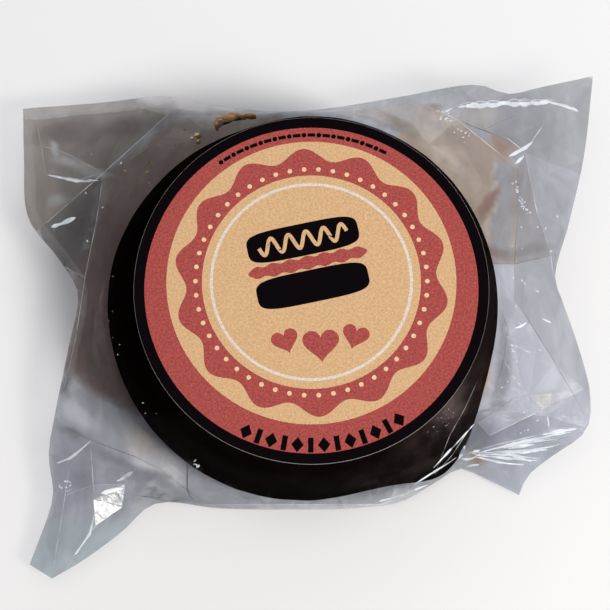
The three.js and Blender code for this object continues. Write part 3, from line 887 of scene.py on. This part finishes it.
def painted_line_material(name, hex_code, least, most):
    """A thin line of paint over the film: a pale one for a painted highlight or glint, a dark one for painted
    shade.
    """
    made, tree = new_material(name)
    place = add(tree, "TexCoord").outputs["Object"]
    uneven = add(tree, "TexNoise", {"Vector": place, "Scale": 1 / (3 * MM)})
    share = add(tree, "MapRange", [uneven, 0.35, 0.65, least, most])
    haze = add(tree, "BsdfPrincipled", {"Base Color": linear(hex_code), "Roughness": 0.3})
    add(tree, "OutputMaterial", [add(tree, "MixShader", [share, add(tree, "BsdfTransparent"), haze])])
    return made


# Pale lines are painted highlights, dark lines painted shade.
for name, hex_code, most, chosen in (
        ("painted_highlight_folds", "EEF1F4", 0.75, [fold for fold in FOLDS if fold[0] > 0]),
        ("painted_shade_folds", "4A484A", 0.65, [fold for fold in FOLDS if fold[0] < 0])):
    pressed = painted_line_material(f"polypropylene_{name}", hex_code, 0.3 * most, most)
    strips = mesh_piece(f"film_{name}", *fold_ribbons(chosen, FOLD_LINE_HALF), pressed)
    stand_for(strips, "film_bag")

# Broader creases, drawn as painted highlights that stand for the light they catch: how broad each is, and
# its corners.
PAINTED_GLINT_HALF = 0.42
PAINTED_GLINT_CREASES = [
    (2.6, [(27.4, 34.7), (31.5, 35.4), (37.0, 36.0), (44.0, 36.2)]),
    (0.8, [(43.0, 36.2), (46.4, 35.5), (48.7, 34.5)]),
    (0.9, [(47.2, 35.3), (48.6, 34.7)]),
    (1.2, [(-43.9, 13.8), (-41.8, 14.3), (-39.6, 15.1)]),
    (0.4, [(-44.8, 23.4), (-39.4, 21.7), (-35.6, 21.2)]),
    (0.9, [(-38.4, 21.4), (-36.6, 21.4)]),
    (1.5, [(-34.4, -32.9), (-32.6, -32.3), (-30.8, -31.9)]),
    (1.0, [(-31.8, -30.8), (-30.2, -30.1), (-28.8, -29.7)]),
    (0.3, [(-35.6, -36.4), (-36.4, -39.6), (-38.9, -43.0)]),
    (0.3, [(-36.4, -24.0), (-38.6, -25.8), (-39.9, -26.8), (-42.2, -27.4)]),
    (0.8, [(36.0, 25.4), (38.9, 27.2), (40.2, 28.4)]),
    (1.0, [(37.0, 24.0), (38.6, 25.6)]),
    (0.4, [(24.8, 33.6), (26.4, 34.6)]),
    # the gathered film at the front right
    (0.8, [(34.0, -25.6), (36.6, -26.3), (39.5, -27.0)]),
    (0.9, [(41.2, -22.8), (44.5, -22.2), (47.1, -21.7)]),
    (0.3, [(42.0, -19.9), (42.4, -21.6)]),
    # the knot where the pleats meet, and the lines that run from it over the biscuit
    (0.9, [(26.9, -26.8), (27.4, -25.9), (27.7, -25.1)]),
    (0.3, [(27.4, -26.8), (28.6, -27.0), (29.8, -26.6)]),
    (0.7, [(29.1, -26.1), (29.7, -25.8), (30.4, -25.7)]),
    (0.2, [(28.4, -27.8), (30.4, -27.7)]),
    # nicks in the right side
    (0.3, [(36.3, -5.4), (37.4, -5.0), (38.4, -4.2)]),
    (0.1, [(41.2, -3.2), (42.9, -3.8)]),
]
RAGGED_MM = 0.9
# Fine pleats run out from the knot to the seal, drawn as painted highlights: how many, and the half width of
# the widest.
PLEATS = 16
PLEAT_HALF = 0.26
PLEAT_KNOT = (28.6, -26.4)
PLEAT_ENDS = ((47.8, -21.7), (39.6, -27.8))
PLEAT_BOW = 0.5
# Fine creases, drawn as painted highlights, in the film drawn over the biscuit's front right, and in the
# strip under it.
FINE_CREASES = [
    (0.4, [(29.1, -21.8), (27.4, -23.7), (25.2, -25.7), (22.5, -28.4)]),
    (0.2, [(26.4, -26.6), (22.5, -29.0), (19.0, -31.2)]),
    (0.4, [(21.6, -30.8), (17.4, -32.6), (12.4, -34.0)]),
]


def joined(parts):
    """Points and faces of several parts as one mesh."""
    points, faces = [], []
    for part_points, part_faces in parts:
        faces += [tuple(len(points) + i for i in face) for face in part_faces]
        points.extend(part_points)
    return points, faces


rng = np.random.default_rng(41)
pleats = []
for k in range(PLEATS):
    across = (k + rng.uniform(0.1, 0.9)) / PLEATS
    run = np.array(PLEAT_ENDS[0]) * (1 - across) + np.array(PLEAT_ENDS[1]) * across - PLEAT_KNOT
    bow = rng.uniform(-PLEAT_BOW, PLEAT_BOW)
    along = np.linspace(rng.uniform(0.04, 0.5), rng.uniform(0.6, 1), 4)
    pleats.append((rng.uniform(0, 1) ** 2,
                   [tuple(PLEAT_KNOT + run * t + (0, bow * math.sin(math.pi * t))) for t in along]))
# Painted highlights: near-white lines over the film.
glint_paint = painted_line_material("painted_glint_polypropylene", "EDF5FD", 0.6, 0.95)
painted_glint_lines = mesh_piece("film_painted_glint_creases", *joined([
    fold_ribbons(PAINTED_GLINT_CREASES, PAINTED_GLINT_HALF, RAGGED_MM),
    fold_ribbons(pleats + FINE_CREASES, PLEAT_HALF, RAGGED_MM),
]), glint_paint)
stand_for(painted_glint_lines, "film_bag")

# Painted glints: small bright spots on the film and the coating that stand for where it catches the light.
# Each group: how many, smallest and largest radius, and the sector of angle and distance they lie in.
GLINT_GROUPS = [
    # right side
    (30, 0.07, 0.20, (-28, 20), (36.0, 50.0)),
    (16, 0.07, 0.20, (-34, -24), (36.0, 50.0)),
    # on the biscuit's shoulder
    (24, 0.02, 0.08, (-50, -37), (31.2, 33.2)),
    (8, 0.04, 0.10, (140, 230), (31.6, 33.8)),
    # the painted glints of a blister of air over the coating
    (7, 0.06, 0.16, (-123.4, -121), (33.4, 34.2)),
    # back right ear, where the film is crinkled
    (26, 0.07, 0.20, (21, 30), (41.2, 42.4)),
    (18, 0.06, 0.20, (49, 56), (40.0, 42.6)),
    (12, 0.06, 0.16, (44, 50), (39.4, 41.5)),
    # left ears
    (10, 0.05, 0.12, (142, 165), (38.0, 50.0)),
    (10, 0.06, 0.16, (-143, -140), (50.4, 52.4)),
]
GLINT_CORNERS = 5
GLINT_INSET = 0.6

rng = np.random.default_rng(23)
corner_turn = np.linspace(0, 2 * math.pi, GLINT_CORNERS, endpoint=False)
middles, outlines = [], []
for count, smallest, largest, sector, reach_range in GLINT_GROUPS:
    for _ in range(count):
        turn, r = math.radians(rng.uniform(*sector)), rng.uniform(*reach_range)
        size, stretch, lean = rng.uniform(smallest, largest), rng.uniform(1, 2.6), rng.uniform(0, math.pi)
        if r > around(turn, seal_radius) - GLINT_INSET:
            continue
        along, across = size * stretch * np.cos(corner_turn), size * np.sin(corner_turn)
        middles.append((r * math.cos(turn), r * math.sin(turn)))
        outlines.append(np.stack([along * math.cos(lean) - across * math.sin(lean),
                                  along * math.sin(lean) + across * math.cos(lean)], axis=1))
middles = np.array(middles)
levels = np.maximum(folded_film(*middles.T), drum_height(np.hypot(*middles.T))) + RIBBON_LIFT
points = [(*(middle + corner), level) for middle, outline, level in zip(middles, outlines, levels)
          for corner in outline]
faces = [tuple(range(first, first + GLINT_CORNERS)) for first in range(0, len(points), GLINT_CORNERS)]
# Each glint is a painted highlight.
glints = mesh_piece("film_glints", points, faces, painted_line_material("painted_glint_spot_polypropylene", "EAF2FC", 0.3, 0.85),
                    smooth=False)
stand_for(glints, "film_bag")

# ---- Filling and crumbs -------------------------------------------------------------------------
# A smear of caramel filling that was pressed out at the back, and golden biscuit crumbs, caught
# between the coating and the film.

SMEAR_LUMPS = [
    # place, half sizes along, across and up, turn in degrees
    ((-13.6, 32.4), (1.8, 0.9, 0.5), 14),
    ((-12.0, 33.3), (1.5, 0.8, 0.5), -8),
    ((-14.6, 31.6), (0.9, 0.8, 0.4), 60),
    ((-10.6, 33.0), (0.9, 0.5, 0.3), -20),
    ((-15.0, 30.6), (0.35, 0.9, 0.3), 8),
    ((-9.2, 33.0), (1.2, 0.6, 0.3), -6),
]
CRUMBS = [
    # place and radius
    ((-18.2, 28.6), 0.62), ((-18.0, 27.0), 0.46), ((-19.2, 28.0), 0.34), ((-26.4, 23.9), 0.4),
    ((-26.8, 21.8), 0.36), ((-22.0, 26.8), 0.24), ((-29.2, 18.4), 0.2), ((-31.6, 12.2), 0.18),
    ((-24.0, 27.6), 0.2), ((-20.6, 30.2), 0.24), ((-32.4, 3.2), 0.2), ((-33.0, -4.4), 0.16),
]
# A lump's rings and the points on each, how uneven it is, and how far it lies under the film.
LUMP_RINGS = 7
LUMP_SECTORS = 10
LUMP_SWELL = 0.14
LUMP_GAP = 0.1


def lump(place, half, turn, rng):
    """A small uneven blob just under the film: points and faces."""
    height = float(upper_film(*place)) - half[2] - LUMP_GAP
    c, s = math.cos(math.radians(turn)), math.sin(math.radians(turn))
    points = []
    for ring in range(LUMP_RINGS):
        # The first and the last ring stop just short of the poles.
        down = math.pi * (ring + 0.001) / (LUMP_RINGS - 1 + 0.002)
        for k in range(LUMP_SECTORS):
            around_turn = 2 * math.pi * k / LUMP_SECTORS
            swell = 1 + rng.uniform(-LUMP_SWELL, LUMP_SWELL)
            along = swell * half[0] * math.sin(down) * math.cos(around_turn)
            across = swell * half[1] * math.sin(down) * math.sin(around_turn)
            points.append((place[0] + c * along - s * across, place[1] + s * along + c * across,
                           height + half[2] * math.cos(down)))
    return points, ring_faces(LUMP_RINGS, LUMP_SECTORS)


def food_material(name, grain_mm, deep_hex, light_hex, roughness):
    """Filling or crumb, whose tone varies from grain to grain."""
    made, tree = new_material(name)
    place = add(tree, "TexCoord").outputs["Object"]
    grains = add(tree, "TexNoise", {"Vector": place, "Scale": 1 / (grain_mm * MM), "Detail": 2.0})
    tone = add(tree, "Mix", [grains, linear(deep_hex), linear(light_hex)], data_type="RGBA")
    shader = add(tree, "BsdfPrincipled", {"Base Color": tone, "Roughness": roughness})
    add(tree, "OutputMaterial", [shader])
    return made


# Caramel: sugar glass and milk, sticky and glossy, deep amber where it is thick.
caramel = food_material("caramel_filling", 1.1, "7E4A12", "CC8C38", 0.25)
smear = mesh_piece("filling_smear", *joined([lump(*part, rng) for part in SMEAR_LUMPS]), caramel)
stand_for(smear, "film_bag")

# Crumb: baked starch, dry and matt, golden with browner grains.
baked_crumb = food_material("baked_maize_starch_crumb", 0.4, "9A8248", "ECD8A0", 0.9)
crumbs = mesh_piece("crumbs", *joined([lump(place, (size, size * 0.8, size * 0.5), 40 * k, rng)
                                       for k, (place, size) in enumerate(CRUMBS)]), baked_crumb)
stand_for(crumbs, "film_bag")

# ---- Sticker ------------------------------------------------------------------------------------
# A round label of coated paper, die-cut, printed in flat inks and laid on the film by hand.

STICKER_RADIUS = (sticker_high.x - sticker_low.x) / 2
STICKER_CENTRE = ((sticker_high.x + sticker_low.x) / 2, (sticker_high.y + sticker_low.y) / 2)
# The paper's top lies this far under the solid's, to leave room for the layers of ink.
SHEET_TOP = sticker_high.z - 0.06
INK_STEP = 0.006
INK_DEPTH = 0.02
PRINT_GRAIN_MM = 0.34


def disc_outline(radius, count=200, centre=(0, 0)):
    """Points round a circle."""
    return [(centre[0] + radius * math.cos(t), centre[1] + radius * math.sin(t))
            for t in np.linspace(0, 2 * math.pi, count, endpoint=False)]


def plate(outline, low, top):
    """Points and faces of a flat plate with upright sides."""
    n = len(outline)
    sides = [(i, (i + 1) % n, n + (i + 1) % n, n + i) for i in range(n)]
    return ([(px, py, z) for z in (low, top) for px, py in outline],
            [tuple(reversed(range(n))), tuple(range(n, 2 * n)), *sides])


def printed(name, outlines, layer, material, bottom=None):
    """Flat printed shapes on the sticker, as thin plates in one piece."""
    top = SHEET_TOP + layer * INK_STEP
    low = top - INK_DEPTH if bottom is None else bottom
    cx, cy = STICKER_CENTRE
    plates = joined([plate([(cx + px, cy + py) for px, py in outline], low, top) for outline in outlines])
    stand_for(mesh_piece(name, *plates, material, smooth=False), "sticker")


def ink(name, hex_code, depth=0.16):
    """Offset ink on coated paper: flat colour with the grain of the print, drawn coarser than it is."""
    made, tree = new_material(name)
    place = add(tree, "TexCoord").outputs["Object"]
    grain = add(tree, "TexNoise", {"Vector": place, "Scale": 1 / (PRINT_GRAIN_MM * MM), "Detail": 2.0})
    shade = add(tree, "MapRange", [grain, *NOISE_SPAN, 1 - depth, 1 + depth])
    colour = add(tree, "VectorMath", [linear(hex_code)[:3], shade], operation="SCALE")
    shader = add(tree, "BsdfPrincipled", {
        "Base Color": colour, "Roughness": 0.6, "Specular IOR Level": 0.04,
    })
    add(tree, "OutputMaterial", [shader])
    return made


paper_stock = ink("coated_label_paper", "C4C0BA")
black_ink = ink("black_ink", "070205")
rose_ink = ink("rose_ink", "A94F4B", depth=0.3)
cream_ink = ink("cream_ink", "D8B186")
pale_ink = ink("pale_ink", "DFD6CA")
dot_ink = ink("light_cream_ink", "EFC9A2")

# The badge's rings lie about its own centre, a little above the sticker's.
RIM_WIDTH = 0.02
ROSE_BAND_RADIUS = 28.2
BADGE = (0, 1.2)
FIELD_RADIUS = 24.5
LOBES = 14
LOBE_TURN = math.radians(16.3)
LOBE_RADIUS = 22.2
LOBE_DEPTH = 1.05
HEART_RADIUS = 18.5
PALE_RING_RADIUS = 17.15
CENTRE_RADIUS = 16.65
DOTS = 50
DOT_RING_RADIUS = 19.6
DOT_RADIUS = 0.4

scallop = [(BADGE[0] + r * math.cos(t), BADGE[1] + r * math.sin(t))
           for t in np.linspace(0, 2 * math.pi, 560, endpoint=False)
           for r in [LOBE_RADIUS + LOBE_DEPTH * math.cos(LOBES * (t - LOBE_TURN))]]
printed("sticker_paper", [disc_outline(STICKER_RADIUS)], 0, paper_stock, bottom=sticker_low.z)
for layer, (name, outline, colour) in enumerate([
        ("black_rim", disc_outline(STICKER_RADIUS - RIM_WIDTH), black_ink),
        ("rose_band", disc_outline(ROSE_BAND_RADIUS), rose_ink),
        ("cream_field", disc_outline(FIELD_RADIUS, centre=BADGE), cream_ink),
        ("scalloped_ring", scallop, rose_ink),
        ("cream_heart", disc_outline(HEART_RADIUS, centre=BADGE), cream_ink),
        ("pale_ring", disc_outline(PALE_RING_RADIUS, centre=BADGE), pale_ink),
        ("cream_centre", disc_outline(CENTRE_RADIUS, centre=BADGE), cream_ink)], 1):
    printed(f"sticker_{name}", [outline], layer, colour)
printed("sticker_dots", [
    disc_outline(DOT_RADIUS, 14, spot) for spot in disc_outline(DOT_RING_RADIUS, DOTS, BADGE)
], 5, dot_ink)

# The motif: two like round biscuits seen from the side, with filling between them, drawn with a broad
# brush, and three hearts under it.
MOTIF_PLACE = (-0.6, 4.4)
MOTIF_TILT = 12
MOTIF_LAYER = 8
BISCUIT_HALF = 9.6
BISCUIT_SQUARENESS = 4.2
CRUST_HEIGHT = 5.6
LAYER_GAP = 2.6
# The icing drizzled over the upper biscuit: half length, stroke, height of its waves and their count.
DRIZZLE_HALF = 7.6
DRIZZLE_STROKE = 0.66
DRIZZLE_RISE = 1.35
DRIZZLE_WAVES = 5
FILLING_HALF = 10.3
FILLING_WAVES = 7
# size, place and tilt in degrees
HEARTS = [(2.3, (-4.4, -9.0), 20), (3.1, (1.6, -9.6), 4), (2.3, (7.4, -8.2), -16)]


def set_in(outline, place, tilt):
    """An outline turned by some degrees and moved."""
    c, s = math.cos(math.radians(tilt)), math.sin(math.radians(tilt))
    return [(place[0] + c * px - s * py, place[1] + s * px + c * py) for px, py in outline]


def motif(outlines):
    """Places parts of the motif on the sticker."""
    return [set_in(outline, MOTIF_PLACE, MOTIF_TILT) for outline in outlines]


def biscuit_side(half, low, high):
    """A biscuit seen from the side: a block with well-rounded corners."""
    round_off = 2 / BISCUIT_SQUARENESS
    turns = np.linspace(0, 2 * math.pi, 96, endpoint=False)
    across, up = (np.sign(f(turns)) * np.abs(f(turns)) ** round_off for f in (np.cos, np.sin))
    return list(zip(half * across, (low + high) / 2 + (high - low) / 2 * up))


def heart(size):
    """A plain heart."""
    return [(size * math.sin(t) ** 3, size * (13 * math.cos(t) - 5 * math.cos(2 * t) - 2 * math.cos(3 * t)
                                              - math.cos(4 * t)) / 16)
            for t in np.linspace(0, 2 * math.pi, 48, endpoint=False)]


half_gap = LAYER_GAP / 2
crusts = [(half_gap, half_gap + CRUST_HEIGHT), (-half_gap - CRUST_HEIGHT, -half_gap)]
printed("sticker_motif_biscuits", motif([biscuit_side(BISCUIT_HALF, low, high) for low, high in crusts]),
        MOTIF_LAYER, black_ink)
px = np.linspace(-DRIZZLE_HALF, DRIZZLE_HALF, 120)
py = sum(crusts[0]) / 2 + DRIZZLE_RISE * np.sin(DRIZZLE_WAVES * math.pi * px / DRIZZLE_HALF)
run = np.stack([np.gradient(px), np.gradient(py)], axis=1)
out = np.stack([-run[:, 1], run[:, 0]], axis=1) / np.hypot(*run.T)[:, None] * DRIZZLE_STROKE / 2
middle = np.stack([px, py], axis=1)
printed("sticker_motif_drizzle", motif([[*(middle - out), *(middle + out)[::-1]]]),
        MOTIF_LAYER + 1, cream_ink)
wave = [(px, half_gap * (0.78 + 0.16 * math.cos(FILLING_WAVES * math.pi * px / FILLING_HALF))
         * (1 - (abs(px) / FILLING_HALF) ** 8) ** 0.5)
        for px in np.linspace(-FILLING_HALF * 0.999, FILLING_HALF * 0.999, 90)]
printed("sticker_motif_filling", motif([[(px, -py) for px, py in wave] + wave[::-1]]),
        MOTIF_LAYER, rose_ink)
printed("sticker_motif_hearts", [set_in(heart(size), place, tilt) for size, place, tilt in HEARTS],
        MOTIF_LAYER, rose_ink)

# The borders on the rose band: a row of small marks along its top, and one along its bottom.
BORDER_LAYER = 3
TOP_BORDER_RADIUS = 26.9
TOP_BORDER_ENDS = (125, 63)
BOTTOM_BORDER_RADIUS = 26.8
BOTTOM_BORDER_ENDS = (-114, -57)
SMALL_DOT = disc_outline(0.42, 12)
DASH = [(-0.66, -0.3), (0.66, -0.3), (0.66, 0.3), (-0.66, 0.3)]
DIAMOND = [(1.05, 0), (0, 1.3), (-1.05, 0), (0, -1.3)]
BAR = [(-0.46, -1.25), (0.46, -1.25), (0.46, 1.25), (-0.46, 1.25)]

for name, radius, ends, marks in (
        ("top", TOP_BORDER_RADIUS, TOP_BORDER_ENDS, [SMALL_DOT, DASH] * 12),
        ("bottom", BOTTOM_BORDER_RADIUS, BOTTOM_BORDER_ENDS, [DIAMOND, BAR] * 6 + [DIAMOND])):
    printed(f"sticker_{name}_border", [
        set_in(mark, (radius * math.cos(math.radians(t)), radius * math.sin(math.radians(t))), t - 90)
        for t, mark in zip(np.linspace(*ends, len(marks)), marks)
    ], BORDER_LAYER, black_ink)

# ---- Paper label --------------------------------------------------------------------------------
# A plain rectangle of white label paper with rounded corners, die-cut and stuck under the pack.

LABEL_CORNER = 3.0
LABEL_CORNER_STEPS = 8

label_low, label_high = box("back_label")
centre, half = (label_low + label_high) / 2, (label_high - label_low) / 2
outline = []
for sx, sy, start in ((1, 1, 0), (-1, 1, 90), (-1, -1, 180), (1, -1, 270)):
    for step in range(LABEL_CORNER_STEPS + 1):
        t = math.radians(start + step * 90 / LABEL_CORNER_STEPS)
        outline.append((centre.x + sx * (half.x - LABEL_CORNER) + LABEL_CORNER * math.cos(t),
                        centre.y + sy * (half.y - LABEL_CORNER) + LABEL_CORNER * math.sin(t)))
paper_label = mesh_piece("paper_label", *plate(outline, label_low.z, label_high.z),
                         ink("white_label_paper", "ECEDF0", depth=0.05), smooth=False)
stand_for(paper_label, "back_label")
